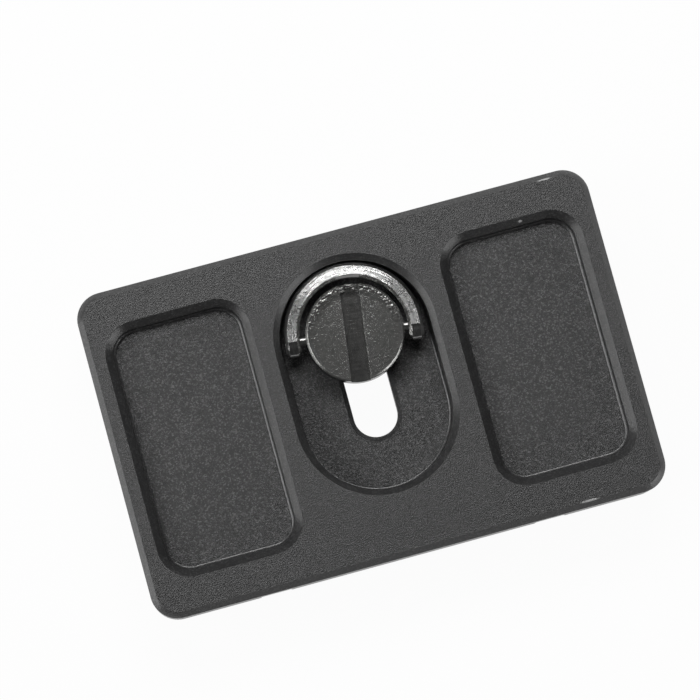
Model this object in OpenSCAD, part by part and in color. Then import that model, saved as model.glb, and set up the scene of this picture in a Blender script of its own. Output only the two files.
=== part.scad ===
// Cable clamp plate for a camera. The plate is screwed under the camera through its
// captive screw, and holds a cable in either of two bent channels under the camera.
// The origin is under the plate's centre, at the tip of the stud. +Z is the side with
// the D-ring, and the camera side faces down.

/* [Plate] */
// Length of the plate, along X
plate_l = 84; // [82:0.5:100]
// Width of the plate, along Y
plate_w = 53; // [52:0.5:60]
// Thickness of the metal
plate_t = 9.5; // [9.2:0.1:12]
// Radius of the plate's upright corners
plate_corner_r = 4.3; // [3:0.1:8]
// Chamfer round the D-ring side
rim_chamfer = 0.95; // [0.3:0.05:1.2]
// Chamfer round the camera side
base_chamfer = 0.5; // [0.2:0.05:0.9]

/* [Pockets] */
// Distance of each pocket's middle from the plate's middle
pocket_x = 27.4; // [27:0.1:28]
// Size of a pocket's mouth along X
pocket_l = 23.45; // [18:0.05:24]
// Size of a pocket's mouth along Y
pocket_w = 41.5; // [30:0.5:44]
// Corner radius of a pocket's mouth
pocket_r = 5.25; // [3:0.05:8]
// Depth of a pocket
pocket_depth = 2.5; // [2.2:0.1:2.8]
// Chamfer round a pocket's mouth
pocket_chamfer = 1.15; // [0.4:0.05:1.3]
// Fillet between a pocket's wall and floor
pocket_fillet = 0.7; // [0.3:0.05:0.8]

/* [Screw recess and slot] */
// Radius of the recess's round ends at its mouth
recess_r = 13.1; // [12.8:0.05:13.4]
// Place of the recess's far round end, along Y
recess_y_far = 9.35; // [9.3:0.05:10]
// Place of the recess's near round end, along Y
recess_y_near = -3.3; // [-6:0.1:-2]
// Depth of the recess
recess_depth = 5.2; // [4.8:0.1:5.6]
// Chamfer round the recess's mouth
recess_chamfer = 1; // [0.4:0.05:1.2]
// Fillet between the recess's wall and floor
recess_fillet = 0.6; // [0.2:0.05:0.8]
// Width of the through slot
slot_w = 7.1; // [6.6:0.1:7.5]
// Place of the slot's far end, which is where the screw is shown, along Y
slot_y_far = 9.9; // [9:0.1:10]
// Place of the slot's near end, along Y
slot_y_near = -3.25; // [-3.3:0.05:0]
// Chamfer round the slot's edge in the recess
slot_chamfer = 0.75; // [0.2:0.05:1]
// Width of the track for the washer, on the camera side
track_w = 11.9; // [11.6:0.1:13]
// Depth of the track from the camera side
track_depth = 1.9; // [1.8:0.1:2.2]

/* [Screw] */
// Radius of the head
head_r = 7.85; // [7:0.05:8]
// Height of the head
head_h = 4.2; // [4:0.1:4.6]
// Chamfer round the head's top edge
head_chamfer = 0.35; // [0.2:0.05:0.6]
// Width of the coin slot across the head
coin_slot_w = 3.15; // [1.5:0.05:3.5]
// Depth of the coin slot
coin_slot_depth = 1.6; // [1:0.1:1.8]
// Angle between the coin slot and the square to the pivots, seen from above
coin_slot_turn = -1.1; // [-5:0.1:5]
// Radius of the stud, a quarter inch across
stud_r = 3.175; // [3.175:0.005:3.2]
// How far the stud stands out of the pads with the head seated
stud_out = 4.9; // [4:0.1:5.5]
// Chamfer on the stud's tip
stud_chamfer = 0.6; // [0.3:0.1:0.8]
// How far the captive screw can lift off the recess floor
screw_play = 0.6; // [0.3:0.1:0.7]
// Angle by which the screw is turned from the slot, seen from above
screw_turn = -6.5; // [-90:0.5:90]

/* [D-ring] */
// Inner radius of the ring
ring_r_in = 8.65; // [8.55:0.05:8.9]
// Outer radius of the ring
ring_r_out = 11.1; // [10.8:0.05:11.2]
// Height of the ring's section
ring_h = 2.8; // [2:0.1:3]
// Bevel on the ring's outer edges
ring_bevel = 0.55; // [0.2:0.05:0.9]
// Bevel on the ring's inner edges
ring_inner_bevel = 0.5; // [0.1:0.05:0.6]
// Height of the ring's pivots above the head's underside
pivot_h = 2.2; // [2.2:0.1:2.4]
// How far the straight of each foot runs before the pivots
foot_lead = 0.2; // [0:0.05:0.3]
// How far the straight of each foot runs past the pivots
foot_l = 1.05; // [0.2:0.05:1.1]
// How far the loose ring stands off centre along its pivots
ring_slack = -0.1; // [-0.2:0.05:0.2]
// Radius of a pivot pin
pin_r = 0.65; // [0.5:0.05:0.9]

/* [Clip and washer] */
// Thickness of the washer
washer_t = 0.5; // [0.4:0.05:0.6]
// Thickness of the retaining clip
clip_t = 0.6; // [0.4:0.05:0.6]
// Radius of the screw's groove
groove_r = 2.4; // [2.2:0.05:2.6]

/* [Cable channels and pads] */
// Width of a cable channel
cable_w = 5; // [4.4:0.1:5.2]
// Depth of a cable channel in the metal
channel_depth = 4.2; // [3.8:0.1:4.3]
// Place of a channel's two mouths, along X
channel_x = 22.6; // [22:0.1:23]
// Radius of a channel's bends
bend_r = 9; // [8:0.5:10]
// Angle of each bend
bend_angle = 45; // [30:1:45]
// Straight stretch at the middle of a channel
channel_mid_l = 6; // [5:0.5:8]
// Thickness of the rubber pads
pad_t = 1; // [0.8:0.1:1.2]
// How far the pads stand out of the metal
pad_proud = 0.5; // [0.3:0.1:0.8]
// Distance of the pads from the plate's edge
pad_margin = 1.6; // [1.2:0.1:3]

/* [Hidden] */
$fn = 72;

anodised = [0.12, 0.12, 0.125];
steel = [0.78, 0.78, 0.77];
dark_steel = [0.35, 0.35, 0.36];
nylon = [0.9, 0.89, 0.85];
rubber = [0.08, 0.08, 0.08];

// Running gaps and a cutter's overrun
gap = 0.02;
bore_gap = 0.05;
pad_gap = 0.1;
over = 1;

// Heights above the pads' face, which touches the camera
base_z = pad_proud;
top_z = base_z + plate_t;
recess_z = top_z - recess_depth;
track_z = base_z + track_depth;
channel_z = base_z + channel_depth;
head_z = recess_z + screw_play;
washer_z = track_z - gap - washer_t;
clip_z = washer_z - gap - clip_t;
groove_top_z = clip_z + clip_t + gap;
groove_bottom_z = clip_z - gap;
tip_z = screw_play - stud_out;

// Other derived sizes
recess_wall_r = recess_r - recess_chamfer;
channel_fillet = 0.6;
channel_lip = 0.4;
pad_band_w = cable_w + 2 * channel_lip + 2;
pad_corner_r = plate_corner_r - pad_margin / 2;
pad_split_x = channel_x + bend_r * (1 - cos(bend_angle));
pad_track_margin = 0.8;
washer_r = track_w / 2 - 0.35;
clip_r = 4.2;
clip_mouth_w = 3.4;
clip_notch_r = 1.1;
pin_inner_x = 4.6;
pin_end_gap = 0.2;
pin_end_chamfer = 0.15;

// A closed form with round upright corners, from zlow to zhigh. The child is half of
// its section: x is 0 at the corner's axis and r at the outline, and y is the height.
module round_cornered(l, w, r, zlow, zhigh) {
    lx = l - 2 * r;
    ly = w - 2 * r;
    for (a = [0, 90, 180, 270])
        translate([sign(cos(a + 45)) * lx / 2, sign(sin(a + 45)) * ly / 2, 0])
            rotate(a)
                rotate_extrude(angle = 90)
                    children();
    if (lx > 0)
        for (s = [0, 180])
            rotate(s)
                translate([-lx / 2, ly / 2, 0])
                    rotate([90, 0, 90])
                        linear_extrude(lx)
                            children();
    if (ly > 0)
        for (s = [0, 180])
            rotate(s)
                translate([lx / 2, ly / 2, 0])
                    rotate([90, 0, 0])
                        linear_extrude(ly)
                            children();
    if (lx > 0 && ly > 0)
        translate([-lx / 2, -ly / 2, zlow])
            cube([lx, ly, zhigh - zlow]);
}

// A stadium along Y between two round ends; the child is its half section
module stadium(y_low, y_high, zlow, zhigh) {
    length = y_high - y_low;
    translate([0, y_high, 0])
        rotate_extrude(angle = 180)
            children();
    translate([0, y_low, 0])
        rotate(180)
            rotate_extrude(angle = 180)
                children();
    for (s = [0, 1])
        mirror([s, 0, 0])
            translate([0, y_high, 0])
                rotate([90, 0, 0])
                    linear_extrude(length)
                        children();
}

// Half section of a block of radius r with a chamfer at its foot and at its top
module block_section(r, zlow, zhigh, low_chamfer, high_chamfer) {
    polygon([
        [0, zlow],
        [r - low_chamfer, zlow],
        [r, zlow + low_chamfer],
        [r, zhigh - high_chamfer],
        [r - high_chamfer, zhigh],
        [0, zhigh],
    ]);
}

// Half section of a cavity milled down to floor_z: a chamfered mouth, a wall and a
// filleted floor. r is the radius of the mouth's edge at face_z.
module cavity_section(r, floor_z, face_z, chamfer, fillet) {
    wall = r - chamfer;
    polygon([
        [0, floor_z],
        [wall - fillet, floor_z],
        [wall, floor_z + fillet],
        [wall, face_z - chamfer],
        [r, face_z],
        [r + over, face_z + over],
        [0, face_z + over],
    ]);
    translate([wall - fillet, floor_z + fillet])
        circle(fillet);
}

// The route of the right cable channel, from the near edge to the far one. The child is
// the section: x across the channel and y the height.
module along_channel() {
    rise = 2 * bend_r * sin(bend_angle);
    shift = 2 * bend_r * (1 - cos(bend_angle));
    bend_y = channel_mid_l / 2 + rise;
    end_l = plate_w / 2 + over - bend_y;
    for (s = [0, 1])
        mirror([0, s, 0]) {
            translate([channel_x, plate_w / 2 + over, 0])
                rotate([90, 0, 0])
                    linear_extrude(end_l)
                        children();
            translate([channel_x + bend_r, bend_y, 0])
                rotate(180)
                    rotate_extrude(angle = bend_angle)
                        translate([bend_r, 0])
                            children();
            translate([channel_x + shift - bend_r, channel_mid_l / 2, 0])
                rotate_extrude(angle = bend_angle)
                    translate([bend_r, 0])
                        children();
        }
    translate([channel_x + shift, channel_mid_l / 2, 0])
        rotate([90, 0, 0])
            linear_extrude(channel_mid_l)
                children();
}

// Section of a cable channel, open to the camera side, with filleted roof corners
module channel_section() {
    half = cable_w / 2;
    polygon([
        [-half - channel_lip - over, base_z - over],
        [half + channel_lip + over, base_z - over],
        [half, base_z + channel_lip],
        [half, channel_z - channel_fillet],
        [half - channel_fillet, channel_z],
        [-half + channel_fillet, channel_z],
        [-half, channel_z - channel_fillet],
        [-half, base_z + channel_lip],
    ]);
    for (s = [-1, 1])
        translate([s * (half - channel_fillet), channel_z - channel_fillet])
            circle(channel_fillet);
}

// The pads' outline all over the camera side, inset by margin from their own edge
module pad_sheet(zlow, zhigh, margin) {
    inset = pad_margin + margin;
    difference() {
        round_cornered(plate_l - 2 * inset, plate_w - 2 * inset, pad_corner_r - margin, zlow, zhigh)
            block_section(pad_corner_r - margin, zlow, zhigh, 0, 0);
        for (s = [0, 1])
            mirror([s, 0, 0])
                along_channel()
                    translate([-pad_band_w / 2 - margin, zlow - over])
                        square([pad_band_w + 2 * margin, zhigh - zlow + 2 * over]);
        stadium(slot_y_near, slot_y_far, zlow - over, zhigh + over)
            translate([0, zlow - over])
                square([track_w / 2 + pad_track_margin + margin, zhigh - zlow + 2 * over]);
    }
}

// One pad: the part of the sheet between two places along X
module pad(x_low, x_high) {
    color(rubber)
        intersection() {
            pad_sheet(0, pad_t, pad_gap);
            translate([x_low, -plate_w / 2, -over])
                cube([x_high - x_low, plate_w, pad_t + 2 * over]);
        }
}

module screw_recess() {
    stadium(recess_y_near, recess_y_far, recess_z, top_z)
        cavity_section(recess_r, recess_z, top_z, recess_chamfer, recess_fillet);
}

module screw_slot() {
    half = slot_w / 2;
    stadium(slot_y_near, slot_y_far, base_z, recess_z)
        polygon([
            [0, base_z - over],
            [half, base_z - over],
            [half, recess_z - slot_chamfer],
            [half + slot_chamfer, recess_z],
            [half + slot_chamfer, recess_z + over],
            [0, recess_z + over],
        ]);
}

module washer_track() {
    half = track_w / 2;
    stadium(slot_y_near, slot_y_far, base_z, track_z)
        polygon([
            [0, base_z - over],
            [half + channel_lip + over, base_z - over],
            [half, base_z + channel_lip],
            [half, track_z],
            [0, track_z],
        ]);
}

module plate() {
    color(anodised)
        difference() {
            round_cornered(plate_l, plate_w, plate_corner_r, base_z, top_z)
                block_section(plate_corner_r, base_z, top_z, base_chamfer, rim_chamfer);
            for (s = [-1, 1])
                translate([s * pocket_x, 0, 0])
                    round_cornered(pocket_l, pocket_w, pocket_r, top_z - pocket_depth, top_z + over)
                        cavity_section(pocket_r, top_z - pocket_depth, top_z, pocket_chamfer,
                            pocket_fillet);
            screw_recess();
            screw_slot();
            washer_track();
            for (s = [0, 1])
                mirror([s, 0, 0])
                    along_channel()
                        channel_section();
            pad_sheet(base_z - over, pad_t, 0);
        }
}

module guide_washer() {
    color(nylon)
        translate([0, slot_y_far, washer_z])
            difference() {
                cylinder(h = washer_t, r = washer_r);
                translate([0, 0, -over])
                    cylinder(h = washer_t + 2 * over, r = stud_r + bore_gap);
            }
}

// A spring clip with three lugs on the groove, two notches between them and a mouth
module retaining_clip() {
    notch_reach = groove_r + bore_gap + 0.35;
    color(dark_steel)
        translate([0, slot_y_far, clip_z])
            difference() {
                cylinder(h = clip_t, r = clip_r);
                translate([0, 0, -over]) {
                    cylinder(h = clip_t + 2 * over, r = groove_r + bore_gap);
                    for (a = [35, 145])
                        rotate(a)
                            translate([notch_reach, 0, 0])
                                cylinder(h = clip_t + 2 * over, r = clip_notch_r);
                    translate([-clip_mouth_w / 2, -clip_r - over, 0])
                        cube([clip_mouth_w, clip_r + over, clip_t + 2 * over]);
                }
            }
}

// Places the children in the screw's own frame: its axis, its turn and the underside of
// its head at height 0
module on_screw() {
    translate([0, slot_y_far, head_z])
        rotate(screw_turn)
            children();
}

// Half section of the screw, with heights from the head's underside
module screw_section() {
    groove_top = groove_top_z - head_z;
    groove_bottom = groove_bottom_z - head_z;
    tip = tip_z - head_z;
    foot_chamfer = 0.25;
    polygon([
        [0, tip],
        [stud_r - stud_chamfer, tip],
        [stud_r, tip + stud_chamfer],
        [stud_r, groove_bottom],
        [groove_r, groove_bottom],
        [groove_r, groove_top],
        [stud_r, groove_top],
        [stud_r, 0],
        [head_r - foot_chamfer, 0],
        [head_r, foot_chamfer],
        [head_r, head_h - head_chamfer],
        [head_r - head_chamfer, head_h],
        [0, head_h],
    ]);
}

module camera_screw() {
    color(steel)
        on_screw()
            difference() {
                rotate_extrude()
                    screw_section();
                rotate(coin_slot_turn)
                    translate([-coin_slot_w / 2, -head_r - over, head_h - coin_slot_depth])
                        cube([coin_slot_w, 2 * (head_r + over), coin_slot_depth + over]);
                for (s = [0, 180])
                    rotate(s)
                        translate([pin_inner_x, 0, pivot_h])
                            rotate([0, 90, 0])
                                cylinder(h = head_r, r = pin_r);
            }
}

// A pin along X from the head's inside to just short of the foot's outer face
module pivot_pin(side) {
    pin_l = ring_r_out - pin_end_gap - pin_inner_x;
    color(steel)
        on_screw()
            rotate(side > 0 ? 0 : 180)
                translate([pin_inner_x, 0, pivot_h])
                    rotate([0, 90, 0])
                        rotate_extrude()
                            polygon([
                                [0, 0],
                                [pin_r - pin_end_chamfer, 0],
                                [pin_r, pin_end_chamfer],
                                [pin_r, pin_l - pin_end_chamfer],
                                [pin_r - pin_end_chamfer, pin_l],
                                [0, pin_l],
                            ]);
}

// Upper half of the ring's section: x is the distance from the ring's middle and y the
// height above the pivots
module ring_half_section() {
    half = ring_h / 2;
    polygon([
        [ring_r_in, 0],
        [ring_r_out, 0],
        [ring_r_out, half - ring_bevel],
        [ring_r_out - ring_bevel, half],
        [ring_r_in + ring_inner_bevel, half],
        [ring_r_in, half - ring_inner_bevel],
    ]);
}

module ring_section() {
    ring_half_section();
    mirror([0, 1])
        ring_half_section();
}

// A bevelled half ring with two feet that end round about an axis past the pivots
module d_ring() {
    color(steel)
        on_screw()
            translate([ring_slack, 0, pivot_h])
                difference() {
                    union() {
                        translate([0, foot_lead, 0])
                            rotate_extrude(angle = 180)
                                ring_section();
                        for (s = [0, 1])
                            mirror([s, 0, 0]) {
                                translate([0, foot_lead, 0])
                                    rotate([90, 0, 0])
                                        linear_extrude(foot_lead + foot_l)
                                            ring_section();
                                translate([0, -foot_l, 0])
                                    rotate([0, 90, 0])
                                        rotate_extrude()
                                            mirror([1, -1])
                                                ring_half_section();
                            }
                    }
                    translate([-ring_r_out - over, 0, 0])
                        rotate([0, 90, 0])
                            cylinder(h = 2 * (ring_r_out + over), r = pin_r + bore_gap);
                }
}

// Lifts the whole part from the stud's tip at height 0
module standing() {
    translate([0, 0, -tip_z])
        children();
}

standing() plate();
standing() pad(-pad_split_x, pad_split_x);  // centre_pad
standing() pad(-plate_l / 2, -pad_split_x);  // left_pad
standing() pad(pad_split_x, plate_l / 2);  // right_pad
standing() guide_washer();
standing() retaining_clip();
standing() camera_screw();
standing() pivot_pin(-1);  // pivot_pin_left
standing() pivot_pin(1);  // pivot_pin_right
standing() d_ring();
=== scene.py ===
"""The finished camera cable clamp: its surfaces, thread and edges, and the stage it is shown on."""

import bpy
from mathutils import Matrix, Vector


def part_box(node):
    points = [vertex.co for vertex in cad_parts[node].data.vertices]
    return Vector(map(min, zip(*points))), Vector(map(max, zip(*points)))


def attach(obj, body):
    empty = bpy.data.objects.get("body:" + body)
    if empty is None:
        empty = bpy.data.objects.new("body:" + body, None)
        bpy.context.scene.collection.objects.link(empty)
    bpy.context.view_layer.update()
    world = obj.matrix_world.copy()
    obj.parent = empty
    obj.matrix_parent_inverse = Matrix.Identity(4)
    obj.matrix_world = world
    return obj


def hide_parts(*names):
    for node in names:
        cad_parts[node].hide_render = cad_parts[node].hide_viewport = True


bl_info = {
    "name": "Camera cable clamp",
    "version": (1, 0, 0),
    "blender": (4, 5, 0),
    "location": "View3D > Sidebar > Cable clamp",
    "description": "Finishes the packed camera cable clamp and sets up its stage",
    "category": "Object",
}

import math

import bmesh
import bpy
from bpy.props import FloatProperty, FloatVectorProperty, IntProperty, PointerProperty
from mathutils import Vector

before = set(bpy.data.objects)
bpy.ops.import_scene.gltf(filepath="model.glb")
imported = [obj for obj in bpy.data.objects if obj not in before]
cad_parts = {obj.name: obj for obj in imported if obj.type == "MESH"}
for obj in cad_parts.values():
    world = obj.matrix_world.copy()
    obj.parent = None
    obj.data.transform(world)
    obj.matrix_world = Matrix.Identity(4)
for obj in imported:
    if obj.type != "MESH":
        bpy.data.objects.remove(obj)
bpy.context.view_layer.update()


def middle(node):
    """The middle of a node's box."""
    low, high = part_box(node)
    return (low + high) / 2


# A vector times this keeps only its level part.
LEVEL = Vector((1, 1, 0))

# Where the clamp's parts lie in the frame, in metres.
SCREW_LOW, SCREW_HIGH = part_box("camera_screw")
SCREW_AXIS = middle("camera_screw") * LEVEL
PIN_Z = middle("pivot_pin_left").z
PIN_LINE = middle("pivot_pin_right") - middle("pivot_pin_left")
SCREW_TURN = math.atan2(PIN_LINE.y, PIN_LINE.x)
FACE_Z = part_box("plate")[1].z
FACE = Vector((0, 0, FACE_Z))

# The thread ends this far below the clip.
CLIP_GAP = 0.00014
THREAD_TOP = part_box("retaining_clip")[0].z - CLIP_GAP
# Turns of thread that are made below the stud's tip and cut off.
SPARE_TURNS = 1.5

# Distances past the pins where the D-ring's feet are cut, so that they can step and bend there.
FOOT_CUTS = (-0.00005, 0.00005, 0.0007, 0.0014)
# Radius round a pin within which a foot keeps its shape.
PIN_CLEARANCE = 0.001
# The least share of its height that a foot keeps at its end.
LEAST_FOOT = 0.7

# Depths below the plate's face between which its sunk surfaces begin.
SUNK_DEPTHS = (0.0012, 0.0018)
# Depths below the screw's top between which the coin slot's floor, with its milling marks and
# painted shade, begins.
SLOT_DEPTHS = (0.0008, 0.0014)
# Where the burrs of the head's far rim begin and are full, from the axis and along the slot.
RIM_RADII = (0.0058, 0.0074)
RIM_REACH = (-0.001, 0.004)
# The centre and half size of each scratch in the plate.
SCRATCHES = (
    ((0.0355, 0.02555, FACE_Z), (0.0013, 0.00016, 0.0004)),
    ((0.0287, -0.02555, FACE_Z), (0.0018, 0.00022, 0.0004)),
    ((0.0300, 0.0201, FACE_Z - 0.0005), (0.0004, 0.0003, 0.0004)),
)

# Points nearer than these are merged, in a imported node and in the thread.
NODE_MERGE = 2e-6
THREAD_MERGE = 1e-6
# Faces within the first angle are merged, edges over the second are rounded, and edges over the
# third stay sharp in the shading.
FLAT_ANGLE = math.radians(0.5)
EDGE_ANGLE = math.radians(35)
SHARP_ANGLE = math.radians(40)
EDGE_SEGMENTS = 3

# How high over the horizon the pale backdrop is full, and where it ends.
BACKDROP_FULL = math.radians(8)
BACKDROP_END = math.radians(30)

# Sockets of a Mix node on colours: its factor, its two colours and its result.
MIX_FACTOR, MIX_FIRST, MIX_SECOND, MIX_RESULT = 0, 6, 7, 2
VECTOR_INPUT = ("Vector", "NodeSocketVector", None)


class ClampPlateLook(bpy.types.PropertyGroup):
    color: FloatVectorProperty(
        name="Anodised colour", description="Colour of the black anodised metal",
        subtype="COLOR", size=3, min=0, max=1, default=(0.02, 0.02, 0.0203))
    # The rubbed colour is partly dye rubbed thin at the edges and partly a painted edge highlight.
    rubbed_and_highlight_color: FloatVectorProperty(
        name="Rubbed and highlight colour", description="Colour of the edges where the dye is rubbed thin",
        subtype="COLOR", size=3, min=0, max=1, default=(0.15, 0.15, 0.15))
    scratch_color: FloatVectorProperty(
        name="Scratch colour", description="Colour of the bare metal in the scratches",
        subtype="COLOR", size=3, min=0, max=1, default=(0.5, 0.5, 0.5))
    grain: FloatProperty(
        name="Blasted grain", description="Size of the grain that blasting left",
        subtype="DISTANCE", min=0.0001, max=0.001, default=0.00018)
    wall_roughness: FloatProperty(
        name="Wall roughness", description="Roughness of the walls and chamfers",
        subtype="FACTOR", min=0, max=1, default=0.32)
    face_roughness: FloatProperty(
        name="Face roughness", description="Roughness of the faces that lie flat",
        subtype="FACTOR", min=0, max=1, default=0.44)
    edge_round: FloatProperty(
        name="Edge round", description="Width of the round on the plate's edges",
        subtype="DISTANCE", min=0.00002, max=0.0003, default=0.00012)


class ClampPadLook(bpy.types.PropertyGroup):
    color: FloatVectorProperty(
        name="Rubber colour", description="Colour of the rubber pads",
        subtype="COLOR", size=3, min=0, max=1, default=(0.022, 0.022, 0.023))
    roughness: FloatProperty(
        name="Rubber roughness", description="Roughness of the rubber pads",
        subtype="FACTOR", min=0, max=1, default=0.8)
    edge_round: FloatProperty(
        name="Edge round", description="Width of the round on the pads' cut edges",
        subtype="DISTANCE", min=0.00002, max=0.0003, default=0.00015)


class ClampScrewLook(bpy.types.PropertyGroup):
    color: FloatVectorProperty(
        name="Steel colour", description="Colour of the screw's steel",
        subtype="COLOR", size=3, min=0, max=1, default=(0.38, 0.38, 0.37))
    edge_color: FloatVectorProperty(
        name="Edge colour", description="Colour of the screw's edges where they are worn bright",
        subtype="COLOR", size=3, min=0, max=1, default=(0.75, 0.75, 0.74))
    roughness: FloatProperty(
        name="Steel roughness", description="Roughness of the screw's steel",
        subtype="FACTOR", min=0, max=1, default=0.26)
    edge_round: FloatProperty(
        name="Edge round", description="Width of the round on the head's edges",
        subtype="DISTANCE", min=0.00002, max=0.0003, default=0.00016)
    thread_radius: FloatProperty(
        name="Thread radius", description="Radius of the stud over its thread",
        subtype="DISTANCE", min=0.003, max=0.003175, default=0.003155)
    thread_pitch: FloatProperty(
        name="Thread pitch", description="Rise of the stud's thread in one turn",
        subtype="DISTANCE", min=0.0008, max=0.002, default=0.00127)
    thread_depth: FloatProperty(
        name="Thread depth", description="Depth of the stud's thread",
        subtype="DISTANCE", min=0.0003, max=0.001, default=0.0007)
    thread_steps: IntProperty(
        name="Thread steps", description="Faces in one turn of the thread",
        min=16, max=128, default=64)
    tip_chamfer: FloatProperty(
        name="Tip chamfer", description="Width of the chamfer at the stud's tip",
        subtype="DISTANCE", min=0.0001, max=0.001, default=0.0006)


class ClampRingLook(bpy.types.PropertyGroup):
    color: FloatVectorProperty(
        name="Ring colour", description="Colour of the D-ring's bright steel",
        subtype="COLOR", size=3, min=0, max=1, default=(0.92, 0.92, 0.91))
    edge_round: FloatProperty(
        name="Edge round", description="Width of the round on the ring's edges",
        subtype="DISTANCE", min=0.00002, max=0.0003, default=0.00014)
    foot_step: FloatProperty(
        name="Foot step", description="Share of the feet's height that steps down at the pins",
        subtype="FACTOR", min=0, max=0.1, default=0.07)
    foot_fall: FloatProperty(
        name="Foot fall", description="Share of its height that a foot loses in each metre",
        min=0, max=200, default=160)
    pin_color: FloatVectorProperty(
        name="Pin colour", description="Colour of the ground steel pins",
        subtype="COLOR", size=3, min=0, max=1, default=(0.4, 0.4, 0.39))
    pin_roughness: FloatProperty(
        name="Pin roughness", description="Roughness of the ground steel pins",
        subtype="FACTOR", min=0, max=1, default=0.3)
    pin_round: FloatProperty(
        name="Pin round", description="Width of the round on the pins' edges",
        subtype="DISTANCE", min=0.00002, max=0.0003, default=0.00006)


class ClampRetainerLook(bpy.types.PropertyGroup):
    nylon_color: FloatVectorProperty(
        name="Nylon colour", description="Colour of the natural nylon washer",
        subtype="COLOR", size=3, min=0, max=1, default=(0.8, 0.78, 0.72))
    nylon_roughness: FloatProperty(
        name="Nylon roughness", description="Roughness of the nylon washer",
        subtype="FACTOR", min=0, max=1, default=0.45)
    clip_color: FloatVectorProperty(
        name="Clip colour", description="Colour of the phosphated spring steel clip",
        subtype="COLOR", size=3, min=0, max=1, default=(0.16, 0.16, 0.165))
    clip_roughness: FloatProperty(
        name="Clip roughness", description="Roughness of the spring steel clip",
        subtype="FACTOR", min=0, max=1, default=0.4)
    edge_round: FloatProperty(
        name="Edge round", description="Width of the round on the edges of both",
        subtype="DISTANCE", min=0.00002, max=0.0003, default=0.00008)


class ClampStageLook(bpy.types.PropertyGroup):
    camera_place: FloatVectorProperty(
        name="Camera place", description="Where the camera stands",
        subtype="TRANSLATION", unit="LENGTH", size=3, default=(-0.0337, -0.0432, 0.584))
    camera_turn: FloatVectorProperty(
        name="Camera turn", description="How the camera is turned",
        subtype="EULER", unit="ROTATION", size=3,
        default=(math.radians(5.73), math.radians(-1.78), math.radians(-15.28)))
    focal_length: FloatProperty(
        name="Focal length", description="Focal length of the camera's lens",
        subtype="DISTANCE_CAMERA", min=50, max=400, default=186.5)
    rear_power: FloatProperty(
        name="Rear lamp", description="Power of the soft lamp behind the plate",
        unit="POWER", min=0, max=50, default=0.75)
    left_power: FloatProperty(
        name="Left lamp", description="Power of the soft lamp on the left",
        unit="POWER", min=0, max=50, default=5.8)
    left_strip_power: FloatProperty(
        name="Left strip", description="Power of the low strip lamp on the left",
        unit="POWER", min=0, max=50, default=0.6)
    right_strip_power: FloatProperty(
        name="Right strip", description="Power of the low strip lamp in front on the right",
        unit="POWER", min=0, max=50, default=0.4)
    fill: FloatProperty(
        name="Fill", description="Strength of the even light from overhead",
        min=0, max=2, default=0.025)
    sweep: FloatProperty(
        name="Sweep", description="Strength of the pale backdrop all round, low over the floor",
        min=0, max=2, default=0.25)


def link_inputs(tree, sockets, inputs):
    """Links each input, or sets it where it is a plain value."""
    for key, value in inputs.items():
        if isinstance(value, bpy.types.NodeSocket):
            tree.links.new(value, sockets[key])
        else:
            sockets[key].default_value = value


def add(tree, kind, inputs=None, **settings):
    """Adds a shader node with its settings; an input is a value or another node's output."""
    made = tree.nodes.new(kind)
    for name, value in settings.items():
        setattr(made, name, value)
    link_inputs(tree, made.inputs, inputs or {})
    return made


def calc(tree, operation, *values):
    """The result of a Math node."""
    return add(tree, "ShaderNodeMath", dict(enumerate(values)), operation=operation).outputs[0]


def times(tree, *values):
    """The product of several values."""
    product = values[0]
    for value in values[1:]:
        product = calc(tree, "MULTIPLY", product, value)
    return product


def total(tree, *values):
    """The sum of several values."""
    result = values[0]
    for value in values[1:]:
        result = calc(tree, "ADD", result, value)
    return result


def calc_vector(tree, operation, *values):
    """The vector that a Vector Math node gives."""
    made = add(tree, "ShaderNodeVectorMath", dict(enumerate(values)), operation=operation)
    return made.outputs["Vector"]


def length(tree, vector):
    """The length of a vector."""
    return add(tree, "ShaderNodeVectorMath", {0: vector}, operation="LENGTH").outputs["Value"]


def split(tree, vector):
    """The X, Y and Z outputs of a vector."""
    return add(tree, "ShaderNodeSeparateXYZ", {"Vector": vector}).outputs


def join(tree, x, y, z=0.0):
    """A vector from its three parts."""
    return add(tree, "ShaderNodeCombineXYZ", {"X": x, "Y": y, "Z": z}).outputs[0]


def axis_distance(tree, part):
    """How far a place is from the Z axis, from its X and Y outputs."""
    return length(tree, join(tree, part["X"], part["Y"]))


def step(tree, value, low, high):
    """0 at low and 1 at high, with a smooth change between them; low may be the higher one."""
    return add(tree, "ShaderNodeMapRange", {"Value": value, "From Min": low, "From Max": high},
               interpolation_type="SMOOTHSTEP").outputs["Result"]


def below(tree, height, top, depths):
    """0 down to the first depth below a top, and 1 from the second one down."""
    return step(tree, height, top - depths[0], top - depths[1])


def between(tree, factor, first, second):
    """A plain value that goes from first to second with the factor."""
    made = add(tree, "ShaderNodeMapRange", {"Value": factor, "To Min": first, "To Max": second})
    return made.outputs["Result"]


def mix_color(tree, factor, first, second):
    """A colour that goes from first to second with the factor."""
    made = add(tree, "ShaderNodeMix",
               {MIX_FACTOR: factor, MIX_FIRST: first, MIX_SECOND: second}, data_type="RGBA")
    return made.outputs[MIX_RESULT]


def tint(tree, color, shade):
    """A colour multiplied by a shade that changes over the surface."""
    made = add(tree, "ShaderNodeVectorMath", {0: color, "Scale": shade}, operation="SCALE")
    return made.outputs["Vector"]


def opaque(color):
    """A colour with its alpha."""
    return (*color, 1)


def noise(tree, vector, scale, detail=2.0, roughness=0.6):
    """The value of a noise texture, about 0.5."""
    made = add(tree, "ShaderNodeTexNoise", {"Vector": vector, "Scale": scale, "Detail": detail,
                                            "Roughness": roughness})
    return made.outputs["Fac"]


def bump(tree, height, depth):
    """The normal of a surface whose height runs over the depth."""
    return add(tree, "ShaderNodeBump", {"Height": height, "Distance": depth}).outputs[0]


def place(tree):
    """The Object coordinates of the surface."""
    return add(tree, "ShaderNodeTexCoord").outputs["Object"]


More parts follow.
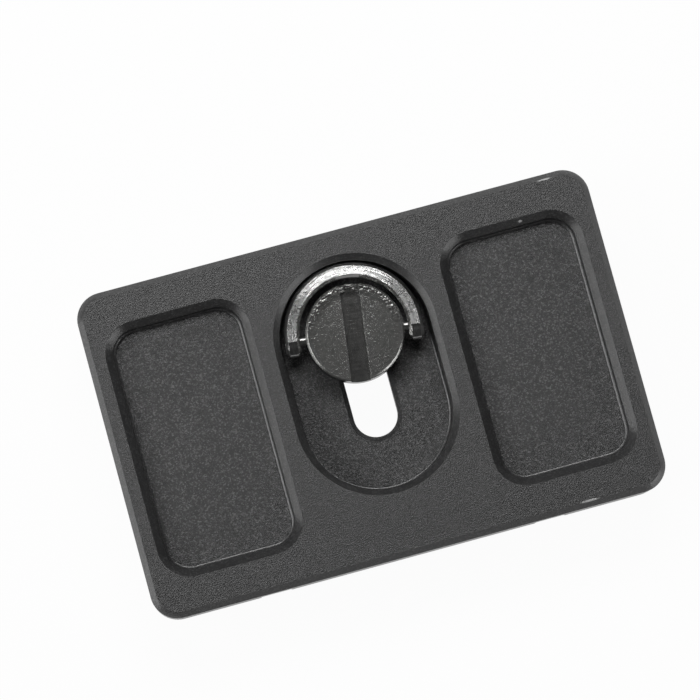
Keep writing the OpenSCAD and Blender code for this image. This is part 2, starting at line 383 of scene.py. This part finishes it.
def screw_place(tree):
    """Coordinates from the screw's axis: X along the pins, Y along the coin slot."""
    return add(tree, "ShaderNodeMapping",
               {"Vector": place(tree), "Location": SCREW_AXIS, "Rotation": (0, 0, SCREW_TURN)},
               vector_type="TEXTURE").outputs[0]


def flat_mask(tree):
    """1 on the faces that look straight up or down, and 0 on walls and chamfers."""
    normal = add(tree, "ShaderNodeTexCoord").outputs["Normal"]
    return step(tree, calc(tree, "ABSOLUTE", split(tree, normal)["Z"]), 0.96, 0.995)


def edge_mask(tree):
    """1 on the rounds of the edges."""
    return add(tree, "ShaderNodeAttribute", attribute_name="edge").outputs["Fac"]


def new_group(name, inputs, outputs):
    """A shader node group with named sockets, and its input and output nodes."""
    tree = bpy.data.node_groups.new(name, "ShaderNodeTree")
    for label, kind, value in (VECTOR_INPUT, *inputs):
        socket = tree.interface.new_socket(name=label, in_out="INPUT", socket_type=kind)
        if value is not None:
            socket.default_value = value
    for label in outputs:
        tree.interface.new_socket(name=label, in_out="OUTPUT", socket_type="NodeSocketFloat")
    return tree, add(tree, "NodeGroupInput").outputs, add(tree, "NodeGroupOutput").inputs


def use_group(tree, name, vector, inputs):
    """Places a group of this scene in a material and returns its outputs."""
    made = add(tree, "ShaderNodeGroup", node_tree=bpy.data.node_groups[name])
    link_inputs(tree, made.inputs, {"Vector": vector, **inputs})
    return made.outputs


def make_grain_group():
    """Fine grain: few pale grains among dark ones, and a small dome and a noise for the height."""
    tree, source, result = new_group(
        "Fine grain",
        [("Size", "NodeSocketFloat", 0.0003), ("Contrast", "NodeSocketFloat", 0.3)],
        ["Shade", "Height"])
    scale = calc(tree, "DIVIDE", 1.0, source["Size"])
    cells = add(tree, "ShaderNodeTexVoronoi", {"Vector": source["Vector"], "Scale": scale})
    value = add(tree, "ShaderNodeSeparateColor", {"Color": cells.outputs["Color"]}).outputs["Red"]
    pale = calc(tree, "SUBTRACT", calc(tree, "POWER", value, 4.0), 0.2)
    soft = noise(tree, source["Vector"], scale)
    tree.links.new(total(tree, 1.0, times(tree, pale, source["Contrast"])), result["Shade"])
    tree.links.new(total(tree, cells.outputs["Distance"], soft), result["Height"])


def make_blotch_group():
    """Slow uneven shade over a surface."""
    tree, source, result = new_group(
        "Slow blotches",
        [("Size", "NodeSocketFloat", 0.01), ("Contrast", "NodeSocketFloat", 0.1)],
        ["Shade"])
    scale = calc(tree, "DIVIDE", 1.0, source["Size"])
    slow = noise(tree, source["Vector"], scale, detail=3.0, roughness=0.55)
    spread = times(tree, calc(tree, "SUBTRACT", slow, 0.5), source["Contrast"])
    tree.links.new(total(tree, spread, 1.0), result["Shade"])


def make_wear_and_highlight_group():
    """Wear and a painted highlight on rounded edges: a thin pale line along them, partly rubbed
    finish and partly painted edge highlight, with brighter spots where they were struck.
    """
    tree, source, result = new_group(
        "Edge wear and highlight",
        [("Size", "NodeSocketFloat", 0.001), ("Line", "NodeSocketFloat", 0.5),
         ("Spots", "NodeSocketFloat", 0.5)],
        ["Mask"])
    scale = calc(tree, "DIVIDE", 1.0, source["Size"])
    struck = noise(tree, source["Vector"], scale, detail=4.0, roughness=0.7)
    spots = times(tree, step(tree, struck, 0.5, 0.7), source["Spots"])
    amount = total(tree, source["Line"], spots)
    tree.links.new(times(tree, edge_mask(tree), amount), result["Mask"])


def make_scratch_group():
    """One scratch or nick: a ragged ellipse about a point, long in one direction."""
    tree, source, result = new_group(
        "Scratch",
        [("Centre", "NodeSocketVector", (0, 0, 0)),
         ("Half size", "NodeSocketVector", (0.001, 0.001, 0.001))],
        ["Mask"])
    offset = calc_vector(tree, "SUBTRACT", source["Vector"], source["Centre"])
    reach = length(tree, calc_vector(tree, "DIVIDE", offset, source["Half size"]))
    ragged = noise(tree, source["Vector"], 5000.0, detail=3.0, roughness=0.7)
    edge = total(tree, reach, times(tree, ragged, 1.2))
    tree.links.new(step(tree, edge, 1.6, 1.2), result["Mask"])


def make_turned_group():
    """Turning marks: fine rings about a piece's axis, uneven along their run."""
    tree, source, result = new_group(
        "Turning marks",
        [("Pitch", "NodeSocketFloat", 0.0002), ("Breaks", "NodeSocketFloat", 1.6)],
        ["Height"])
    part = split(tree, source["Vector"])
    around = calc(tree, "ARCTAN2", part["Y"], part["X"])
    rings = join(tree, calc(tree, "DIVIDE", axis_distance(tree, part), source["Pitch"]),
                 times(tree, around, source["Breaks"]),
                 calc(tree, "DIVIDE", part["Z"], source["Pitch"]))
    tree.links.new(noise(tree, rings, 1.0, detail=4.0, roughness=0.65), result["Height"])


def new_material(name):
    """An empty material: its tree and its Principled shader."""
    material = bpy.data.materials.new(name)
    material.use_nodes = True
    tree = material.node_tree
    tree.nodes.clear()
    shader = add(tree, "ShaderNodeBsdfPrincipled")
    add(tree, "ShaderNodeOutputMaterial", {"Surface": shader.outputs[0]})
    return material, tree, shader


def anodised_material(look):
    """Blasted and black anodised aluminium: paler and coarser where it is sunk, smoother on its
    walls, rubbed thin along its edges, where a painted edge highlight also lies, and scratched in
    three places."""
    material, tree, shader = new_material("black anodised")
    where = place(tree)
    sunk = below(tree, split(tree, where)["Z"], FACE_Z, SUNK_DEPTHS)
    flat = flat_mask(tree)
    contrast = between(tree, times(tree, sunk, flat), 2.4, 4.4)
    grain = use_group(tree, "Fine grain", where, {"Size": look.grain, "Contrast": contrast})
    blotches = use_group(tree, "Slow blotches", where, {"Size": 0.012, "Contrast": 0.2})
    wear_and_highlight = use_group(tree, "Edge wear and highlight", where, {"Size": 0.0006, "Line": 0.45, "Spots": 0.9})
    shade = times(tree, grain["Shade"], blotches["Shade"], between(tree, sunk, 1.0, 1.45))
    # The pale edge line is partly dye rubbed thin and partly a painted edge highlight.
    color = mix_color(tree, wear_and_highlight["Mask"], tint(tree, look.color, shade),
                      opaque(look.rubbed_and_highlight_color))
    for centre, half_size in SCRATCHES:
        scratch = use_group(tree, "Scratch", where, {"Centre": centre, "Half size": half_size})
        color = mix_color(tree, scratch["Mask"], color, opaque(look.scratch_color))
    height = times(tree, grain["Height"], between(tree, sunk, 0.42, 0.6),
                   between(tree, flat, 0.2, 1.0))
    roughness = between(tree, flat, look.wall_roughness, look.face_roughness)
    link_inputs(tree, shader.inputs, {"Base Color": color, "IOR": 1.8, "Roughness": roughness,
                                      "Normal": bump(tree, height, 0.00016)})
    return material


def rubber_material(look):
    """Matte black rubber sheet."""
    material, tree, shader = new_material("pad rubber")
    where = place(tree)
    grain = use_group(tree, "Fine grain", where, {"Size": 0.0005, "Contrast": 0.5})
    blotches = use_group(tree, "Slow blotches", where, {"Size": 0.006, "Contrast": 0.3})
    shade = times(tree, grain["Shade"], blotches["Shade"])
    link_inputs(tree, shader.inputs, {"Base Color": tint(tree, look.color, shade),
                                      "Roughness": look.roughness,
                                      "Normal": bump(tree, grain["Height"], 0.0001)})
    return material


def screw_material(look):
    """Dark turned steel: faint rings, specks, burrs that thicken towards the head's far rim,
    milling marks along the coin slot's floor, and a painted shade that darkens that floor."""
    material, tree, shader = new_material("screw steel")
    where = screw_place(tree)
    part = split(tree, where)
    rim = times(tree, step(tree, axis_distance(tree, part), *RIM_RADII),
                step(tree, part["Y"], *RIM_REACH))
    slot_floor = below(tree, part["Z"], SCREW_HIGH.z, SLOT_DEPTHS)
    turned = use_group(tree, "Turning marks", where, {"Pitch": 0.00022, "Breaks": 9.0})
    rows = join(tree, times(tree, part["X"], 60.0), times(tree, part["Y"], 2600.0))
    milled = times(tree, noise(tree, rows, 1.0, detail=3.0), 0.5)
    blotches = use_group(tree, "Slow blotches", where, {"Size": 0.0006, "Contrast": 1.2})
    wear_and_highlight = use_group(tree, "Edge wear and highlight", where, {"Size": 0.0005, "Line": 0.3, "Spots": 0.7})
    # The coin slot's floor is painted darker here: a painted shade for its depth.
    shade = times(tree, blotches["Shade"], between(tree, slot_floor, 1.0, 0.62))
    color = mix_color(tree, wear_and_highlight["Mask"], tint(tree, look.color, shade), opaque(look.edge_color))
    marks = times(tree, between(tree, slot_floor, turned["Height"], milled), 1.7)
    specks = times(tree, step(tree, noise(tree, where, 3200.0, detail=1.0), 0.56, 0.8), 0.5)
    burrs = times(tree, rim, noise(tree, where, 1900.0, detail=1.0), 9.0)
    height = total(tree, marks, specks, burrs)
    link_inputs(tree, shader.inputs, {"Base Color": color, "Metallic": 1.0,
                                      "Roughness": look.roughness,
                                      "Normal": bump(tree, height, 0.000015)})
    return material


def ring_material(look):
    """Bright worn steel: grooves along the ring, shallow dents, and smoother walls and edges. Its
    gloss is drawn out along the ring."""
    material, tree, shader = new_material("ring steel")
    where = screw_place(tree)
    flat = flat_mask(tree)
    edge = edge_mask(tree)
    grooves = use_group(tree, "Turning marks", where, {"Pitch": 0.0002, "Breaks": 1.5})
    blotches = use_group(tree, "Slow blotches", where, {"Size": 0.0012, "Contrast": 0.6})
    streaks = between(tree, step(tree, grooves["Height"], 0.35, 0.6), 0.72, 1.08)
    shade = times(tree, streaks, blotches["Shade"])
    color = mix_color(tree, edge, tint(tree, look.color, shade), opaque(look.color))
    worn = between(tree, noise(tree, where, 900.0, detail=3.0), 0.2, 0.34)
    dents = noise(tree, where, 2600.0, roughness=0.7)
    height = total(tree, times(tree, flat, grooves["Height"]),
                   times(tree, dents, between(tree, flat, 0.1, 0.15)), times(tree, edge, dents))
    part = split(tree, calc_vector(tree, "SUBTRACT", place(tree), SCREW_AXIS))
    across = add(tree, "ShaderNodeVectorTransform", {"Vector": join(tree, part["X"], part["Y"])},
                 vector_type="VECTOR", convert_from="OBJECT", convert_to="WORLD").outputs[0]
    link_inputs(tree, shader.inputs, {"Base Color": color, "Metallic": 1.0,
                                      "Roughness": between(tree, flat, 0.15, worn),
                                      "Anisotropic": 0.8,
                                      "Tangent": calc_vector(tree, "NORMALIZE", across),
                                      "Normal": bump(tree, height, 0.00008)})
    return material


def pin_material(look):
    """Ground steel."""
    material, tree, shader = new_material("pin steel")
    grain = use_group(tree, "Fine grain", place(tree), {"Size": 0.0002, "Contrast": 0.4})
    link_inputs(tree, shader.inputs, {"Base Color": tint(tree, look.pin_color, grain["Shade"]),
                                      "Metallic": 1.0, "Roughness": look.pin_roughness,
                                      "Normal": bump(tree, grain["Height"], 0.00001)})
    return material


def nylon_material(look):
    """Natural nylon with a faint moulded grain."""
    material, tree, shader = new_material("washer nylon")
    where = place(tree)
    blotches = use_group(tree, "Slow blotches", where, {"Size": 0.003, "Contrast": 0.12})
    grain = use_group(tree, "Fine grain", where, {"Size": 0.0003, "Contrast": 0.1})
    color = tint(tree, look.nylon_color, blotches["Shade"])
    link_inputs(tree, shader.inputs, {"Base Color": color, "Roughness": look.nylon_roughness,
                                      "Normal": bump(tree, grain["Height"], 0.00002)})
    return material


def clip_material(look):
    """Dark phosphated spring steel."""
    material, tree, shader = new_material("clip steel")
    grain = use_group(tree, "Fine grain", place(tree), {"Size": 0.0002, "Contrast": 0.8})
    link_inputs(tree, shader.inputs, {"Base Color": tint(tree, look.clip_color, grain["Shade"]),
                                      "Metallic": 0.9, "Roughness": look.clip_roughness,
                                      "Normal": bump(tree, grain["Height"], 0.00002)})
    return material


def cut(sheet, point, normal, **settings):
    """Cuts a bmesh along a plane."""
    return bmesh.ops.bisect_plane(sheet, geom=sheet.verts[:] + sheet.edges[:] + sheet.faces[:],
                                  plane_co=point, plane_no=normal, **settings)


def closed_cut(sheet, height, keep):
    """Cuts a closed bmesh flat at a height, drops the side away from keep and closes the cut."""
    made = cut(sheet, (0, 0, height), (0, 0, -keep), clear_outer=True)["geom_cut"]
    rim = [item for item in made if isinstance(item, bmesh.types.BMEdge)]
    bmesh.ops.holes_fill(sheet, edges=rim)


def merged_copy(node):
    """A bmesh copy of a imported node, with its loose triangles merged."""
    sheet = bmesh.new()
    sheet.from_mesh(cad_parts[node].data)
    bmesh.ops.remove_doubles(sheet, verts=sheet.verts, dist=NODE_MERGE)
    return sheet


def soften(sheet, width):
    """Rounds a bmesh's sharp edges by bevels, and marks the edge faces for the edge wear and
    painted edge highlight.
    """
    bmesh.ops.dissolve_limit(sheet, angle_limit=FLAT_ANGLE, verts=sheet.verts, edges=sheet.edges)
    mark = sheet.faces.layers.float.new("edge")
    sharp = [edge for edge in sheet.edges
             if edge.is_manifold and edge.calc_face_angle() > EDGE_ANGLE]
    rounded = bmesh.ops.bevel(sheet, geom=sharp, offset=width, offset_type="OFFSET",
                              segments=EDGE_SEGMENTS, profile=0.5, affect="EDGES", material=-1,
                              clamp_overlap=True)
    for face in rounded["faces"]:
        face[mark] = 1.0
    return sheet


def new_object(name, data):
    """An object in the scene."""
    made = bpy.data.objects.new(name, data)
    bpy.context.scene.collection.objects.link(made)
    return made


def mesh_object(sheet, name, material):
    """Turns a bmesh into an object with a material."""
    mesh = bpy.data.meshes.new(name)
    sheet.to_mesh(mesh)
    sheet.free()
    mesh.materials.append(material)
    return new_object(name, mesh)


def finish_piece(sheet, node, ending, body, material):
    """Makes the bmesh a smooth-shaded piece that rides on a body and stands for its node. The
    piece is named for the node, with an ending."""
    piece = mesh_object(sheet, f"{node}_{ending}", material)
    piece.data.shade_smooth()
    piece.data.set_sharp_from_angle(angle=SHARP_ANGLE)
    flat = piece.modifiers.new("flat faces", "WEIGHTED_NORMAL")
    flat.mode = "FACE_AREA_WITH_ANGLE"
    flat.keep_sharp = True
    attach(piece, body)
    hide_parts(node)


class CLAMP_OT_finishes(bpy.types.Operator):
    """Make the shader groups that the materials share"""
    bl_idname = "cable_clamp.finishes"
    bl_label = "Shared finishes"

    def execute(self, context):
        make_grain_group()
        make_blotch_group()
        make_wear_and_highlight_group()
        make_scratch_group()
        make_turned_group()
        return {"FINISHED"}


class CLAMP_OT_plate(bpy.types.Operator):
    """Make the anodised plate"""
    bl_idname = "cable_clamp.plate"
    bl_label = "Plate"

    def execute(self, context):
        look = context.scene.clamp_plate
        finish_piece(soften(merged_copy("plate"), look.edge_round), "plate", "body", "base",
                     anodised_material(look))
        return {"FINISHED"}


class CLAMP_OT_pads(bpy.types.Operator):
    """Make the three rubber pads"""
    bl_idname = "cable_clamp.pads"
    bl_label = "Pads"

    def execute(self, context):
        look = context.scene.clamp_pads
        material = rubber_material(look)
        for node in ("centre_pad", "left_pad", "right_pad"):
            finish_piece(soften(merged_copy(node), look.edge_round), node, "rubber", "base",
                         material)
        return {"FINISHED"}


def chamfer_tip(sheet, look):
    """Draws the stud's thread in to a chamfer at its tip."""
    low = SCREW_LOW.z
    cut(sheet, (0, 0, low + look.tip_chamfer), (0, 0, 1))
    for vertex in sheet.verts:
        away = (vertex.co - SCREW_AXIS) * LEVEL
        limit = look.thread_radius - look.tip_chamfer + (vertex.co.z - low)
        if away.length > limit:
            vertex.co -= away * (1 - limit / away.length)
    bmesh.ops.dissolve_degenerate(sheet, dist=THREAD_MERGE, edges=sheet.edges)


def threaded_stud(look):
    """A right-hand thread about the screw's axis, from the stud's tip up to the clip. It is spun
    past both and cut flat, so that its ends are closed."""
    low = SCREW_LOW.z
    pitch = look.thread_pitch
    start = low - SPARE_TURNS * pitch
    turns = math.ceil((THREAD_TOP - start) / pitch) + 1
    crest = look.thread_radius
    root = crest - look.thread_depth
    outline = ((root, 0), (root, 1 / 4), (crest, 9 / 16), (crest, 11 / 16), (root, 1))
    sheet = bmesh.new()
    profile = [sheet.verts.new(SCREW_AXIS + Vector((radius, 0, start + share * pitch)))
               for radius, share in outline]
    for first, second in zip(profile, profile[1:]):
        sheet.edges.new((first, second))
    bmesh.ops.spin(sheet, geom=sheet.verts[:] + sheet.edges[:], cent=SCREW_AXIS, axis=(0, 0, 1),
                   dvec=(0, 0, pitch / look.thread_steps), angle=2 * math.pi * turns,
                   steps=look.thread_steps * turns)
    bmesh.ops.remove_doubles(sheet, verts=sheet.verts, dist=THREAD_MERGE)
    closed_cut(sheet, low, 1)
    closed_cut(sheet, THREAD_TOP, -1)
    chamfer_tip(sheet, look)
    bmesh.ops.recalc_face_normals(sheet, faces=sheet.faces)
    return sheet


def add_sheet(sheet, extra):
    """Adds a second bmesh to the first."""
    mesh = bpy.data.meshes.new("extra")
    extra.to_mesh(mesh)
    extra.free()
    sheet.from_mesh(mesh)
    bpy.data.meshes.remove(mesh)


class CLAMP_OT_screw(bpy.types.Operator):
    """Make the camera screw with its thread"""
    bl_idname = "cable_clamp.screw"
    bl_label = "Camera screw"

    def execute(self, context):
        look = context.scene.clamp_screw
        sheet = merged_copy("camera_screw")
        closed_cut(sheet, THREAD_TOP, 1)
        soften(sheet, look.edge_round)
        add_sheet(sheet, threaded_stud(look))
        finish_piece(sheet, "camera_screw", "turned", "screw",
                     screw_material(look))
        return {"FINISHED"}


def shape_feet(sheet, look):
    """Steps the ring's feet down at the pins and lets them fall towards their ends. The metal
    close round the pins stays as it is."""
    ahead = Vector((-math.sin(SCREW_TURN), math.cos(SCREW_TURN), 0))
    for past in FOOT_CUTS:
        cut(sheet, SCREW_AXIS - ahead * past, ahead)
    for vertex in sheet.verts:
        past = ahead.dot(SCREW_AXIS - vertex.co)
        rise = vertex.co.z - PIN_Z
        if past > 0 and math.hypot(past, rise) > PIN_CLEARANCE:
            share = max(1 - look.foot_step - look.foot_fall * past, LEAST_FOOT)
            vertex.co.z = PIN_Z + rise * share


class CLAMP_OT_ring(bpy.types.Operator):
    """Make the D-ring and its pivot pins"""
    bl_idname = "cable_clamp.ring"
    bl_label = "D-ring and pins"

    def execute(self, context):
        look = context.scene.clamp_ring
        sheet = soften(merged_copy("d_ring"), look.edge_round)
        shape_feet(sheet, look)
        finish_piece(sheet, "d_ring", "bright", "bail", ring_material(look))
        material = pin_material(look)
        for node in ("pivot_pin_left", "pivot_pin_right"):
            finish_piece(soften(merged_copy(node), look.pin_round), node, "ground", "screw",
                         material)
        return {"FINISHED"}


class CLAMP_OT_retainer(bpy.types.Operator):
    """Make the washer and the clip that keep the screw captive"""
    bl_idname = "cable_clamp.retainer"
    bl_label = "Washer and clip"

    def execute(self, context):
        look = context.scene.clamp_retainer
        finish_piece(soften(merged_copy("guide_washer"), look.edge_round), "guide_washer",
                     "nylon", "slider", nylon_material(look))
        finish_piece(soften(merged_copy("retaining_clip"), look.edge_round), "retaining_clip",
                     "dark", "captive", clip_material(look))
        return {"FINISHED"}


def floor_material():
    """White floor: the camera and the gloss see it nearly evenly white, with a faint shadow."""
    material, tree, shader = new_material("floor")
    link_inputs(tree, shader.inputs, {"Base Color": (0.9, 0.9, 0.9, 1), "Roughness": 0.7})
    glow = add(tree, "ShaderNodeEmission", {"Color": (1, 1, 1, 1), "Strength": 1.0})
    rays = add(tree, "ShaderNodeLightPath").outputs
    glossy = total(tree, rays["Is Glossy Ray"], rays["Is Transmission Ray"])
    share = total(tree, times(tree, rays["Is Camera Ray"], 0.96), times(tree, glossy, 0.7))
    both = add(tree, "ShaderNodeMixShader", {0: share, 1: shader.outputs[0],
                                             2: glow.outputs[0]})
    tree.links.new(both.outputs[0], tree.nodes["Material Output"].inputs["Surface"])
    return material


def make_floor():
    """A wide flat floor under the object."""
    sheet = bmesh.new()
    bmesh.ops.create_grid(sheet, x_segments=1, y_segments=1, size=1.5)
    mesh_object(sheet, "floor", floor_material())


def make_lamp(name, power, azimuth, elevation, distance, size):
    """A soft rectangular lamp that points at the plate's face from a direction in degrees."""
    lamp = bpy.data.lights.new(name, "AREA")
    lamp.shape = "RECTANGLE"
    lamp.size, lamp.size_y = size
    lamp.energy = power
    around, up = math.radians(azimuth), math.radians(elevation)
    away = Vector((math.cos(around) * math.cos(up), math.sin(around) * math.cos(up),
                   math.sin(up)))
    holder = new_object(name, lamp)
    holder.location = FACE + away * distance
    holder.rotation_euler = (-away).to_track_quat("-Z", "Y").to_euler()


def make_world(look):
    """A dim room over a pale backdrop that stands low all round; the camera sees it white."""
    world = bpy.data.worlds.new("studio")
    world.use_nodes = True
    tree = world.node_tree
    tree.nodes.clear()
    up = split(tree, add(tree, "ShaderNodeTexCoord").outputs["Generated"])["Z"]
    low_down = step(tree, up, math.sin(BACKDROP_END), math.sin(BACKDROP_FULL))
    strength = between(tree, low_down, look.fill, look.sweep)
    rays = add(tree, "ShaderNodeLightPath").outputs
    seen = calc(tree, "MAXIMUM", strength, rays["Is Camera Ray"])
    sky = add(tree, "ShaderNodeBackground", {"Color": (1, 1, 1, 1), "Strength": seen})
    add(tree, "ShaderNodeOutputWorld", {"Surface": sky.outputs[0]})
    bpy.context.scene.world = world


def make_camera(look):
    """The camera that the object is shown through."""
    camera = bpy.data.cameras.new("camera")
    camera.lens = look.focal_length
    camera.sensor_width = 36
    camera.clip_start = 0.01
    holder = new_object("camera", camera)
    holder.location = look.camera_place
    holder.rotation_euler = look.camera_turn
    bpy.context.scene.camera = holder


class CLAMP_OT_stage(bpy.types.Operator):
    """Make the floor, the lamps and the camera"""
    bl_idname = "cable_clamp.stage"
    bl_label = "Stage"

    def execute(self, context):
        look = context.scene.clamp_stage
        make_floor()
        make_lamp("rear_lamp", look.rear_power, azimuth=83, elevation=52, distance=0.35,
                  size=(0.26, 0.15))
        make_lamp("left_lamp", look.left_power, azimuth=172, elevation=40, distance=1.2,
                  size=(0.7, 0.68))
        make_lamp("left_strip", look.left_strip_power, azimuth=186, elevation=6, distance=0.7,
                  size=(0.5, 0.13))
        make_lamp("right_strip", look.right_strip_power, azimuth=315, elevation=10, distance=0.5,
                  size=(0.35, 0.12))
        make_world(look)
        make_camera(look)
        context.scene.view_settings.view_transform = "Standard"
        return {"FINISHED"}


class CLAMP_PT_panel(bpy.types.Panel):
    """The clamp's looks and the buttons that make its pieces"""
    bl_idname = "CLAMP_PT_panel"
    bl_label = "Cable clamp"
    bl_space_type = "VIEW_3D"
    bl_region_type = "UI"
    bl_category = "Cable clamp"

    def draw(self, context):
        for name in LOOKS:
            box = self.layout.box()
            look = getattr(context.scene, name)
            for key in look.__annotations__:
                box.prop(look, key)
        for step_class in STEPS:
            self.layout.operator(step_class.bl_idname)


LOOKS = {
    "clamp_plate": ClampPlateLook,
    "clamp_pads": ClampPadLook,
    "clamp_screw": ClampScrewLook,
    "clamp_ring": ClampRingLook,
    "clamp_retainer": ClampRetainerLook,
    "clamp_stage": ClampStageLook,
}
STEPS = (CLAMP_OT_finishes, CLAMP_OT_stage, CLAMP_OT_plate, CLAMP_OT_pads, CLAMP_OT_screw,
         CLAMP_OT_ring, CLAMP_OT_retainer)


def register():
    for group in LOOKS.values():
        bpy.utils.register_class(group)
    for kind in (*STEPS, CLAMP_PT_panel):
        bpy.utils.register_class(kind)
    for name, group in LOOKS.items():
        setattr(bpy.types.Scene, name, PointerProperty(type=group))


def unregister():
    for name in LOOKS:
        delattr(bpy.types.Scene, name)
    for kind in (CLAMP_PT_panel, *reversed(STEPS)):
        bpy.utils.unregister_class(kind)
    for group in LOOKS.values():
        bpy.utils.unregister_class(group)


def main():
    register()
    bpy.ops.cable_clamp.finishes()
    bpy.ops.cable_clamp.stage()
    bpy.ops.cable_clamp.plate()
    bpy.ops.cable_clamp.pads()
    bpy.ops.cable_clamp.screw()
    bpy.ops.cable_clamp.ring()
    bpy.ops.cable_clamp.retainer()


if __name__ == "__main__":
    main()
